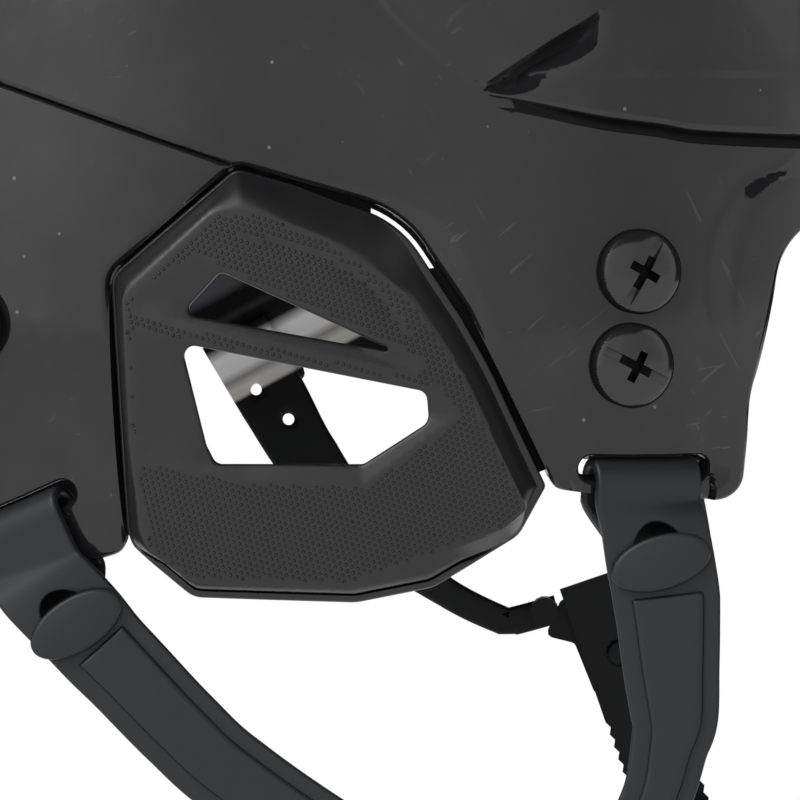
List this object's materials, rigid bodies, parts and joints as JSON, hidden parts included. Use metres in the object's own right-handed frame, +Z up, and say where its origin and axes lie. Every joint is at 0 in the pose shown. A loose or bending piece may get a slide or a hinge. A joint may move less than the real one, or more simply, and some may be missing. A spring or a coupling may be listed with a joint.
{
  "type": "batting helmet",
  "caption": "Hard open-face sports helmet with two ear flaps, one vented ear guard, short peak, foam liner and a hanging chin harness",
  "frame": {"origin": "midway between the wearer's ear canals, inside the empty head space", "axes": "+X to the front (peak), +Y to the wearer's left, +Z up"},
  "size_m": [0.2912, 0.2137, 0.3332],
  "materials": {
    "shell": "gloss black moulded shell with fine scuffs",
    "guard": "satin black with a fine grain and small round bumps",
    "foam": "dark grey moulded bead foam",
    "pad": "black knitted cloth over soft foam",
    "screw": "gloss black domed heads",
    "steel": "plain steel",
    "strap": "matte dark blue-grey elastomer",
    "buckle": "black moulded nylon"
  },
  "bodies": {
    "helmet": {"shell": "shell", "right_ear_guard": "guard", "ear_guard_frame": "guard", "front_foam": "foam", "crown_foam": "foam", "rear_foam": "foam", "right_side_foam": "foam", "left_side_foam": "foam", "brow_pad": "pad", "crown_pad": "pad", "nape_pad": "pad", "right_jaw_pad": "pad", "left_jaw_pad": "pad", "right_front_upper_screw": "screw", "right_front_lower_screw": "screw", "right_rear_screw": "screw", "left_front_upper_screw": "screw", "left_front_lower_screw": "screw", "left_rear_screw": "screw", "right_front_upper_nut": "steel", "right_front_lower_nut": "steel", "right_rear_nut": "steel", "left_front_upper_nut": "steel", "left_front_lower_nut": "steel", "left_rear_nut": "steel", "right_front_strap_loop": "strap", "right_rear_strap_loop": "strap", "left_front_strap_loop": "strap", "left_strap_hanger": "strap", "left_rear_band_upper": "strap"},
    "right_harness": {"right_front_strap": "strap", "right_rear_strap": "strap", "right_buckle_frame": "buckle", "buckle_lever_pin": "steel", "right_front_strap_rivet": "steel", "right_rear_strap_rivet": "steel"},
    "lever": {"buckle_lever": "buckle"},
    "left_harness": {"left_front_strap": "strap", "left_rear_band": "strap", "left_yoke": "strap", "chin_strap": "strap", "left_front_strap_rivet": "steel", "left_rear_band_rivet": "steel", "chin_strap_rivet": "steel"},
    "chin_cup_slider": {"chin_cup": "buckle", "chin_cup_pad": "pad"}
  },
  "joints": [
    {"name": "right_harness_swing", "type": "hinge", "parent": "helmet", "child": "right_harness", "pos_m": [0.064, -0.0928, -0.0384], "axis": [-0.9932, 0, -0.1162], "range_deg": [-15, 45]},
    {"name": "left_harness_swing", "type": "hinge", "parent": "helmet", "child": "left_harness", "pos_m": [0.064, 0.0928, -0.0384], "axis": [1, 0, 0], "range_deg": [-15, 45]},
    {"name": "buckle_lever_turn", "type": "hinge", "parent": "right_harness", "child": "lever", "pos_m": [0.047, -0.097, -0.115], "axis": [-1, 0, 0], "range_deg": [0, 30], "stiffness_Nm_per_rad": 0.05, "springref_deg": -11.46},
    {"name": "chin_cup_slide", "type": "slide", "parent": "left_harness", "child": "chin_cup_slider", "axis": [0.3258, 0, -0.9454], "range_m": [-0.012, 0.012]}
  ]
}
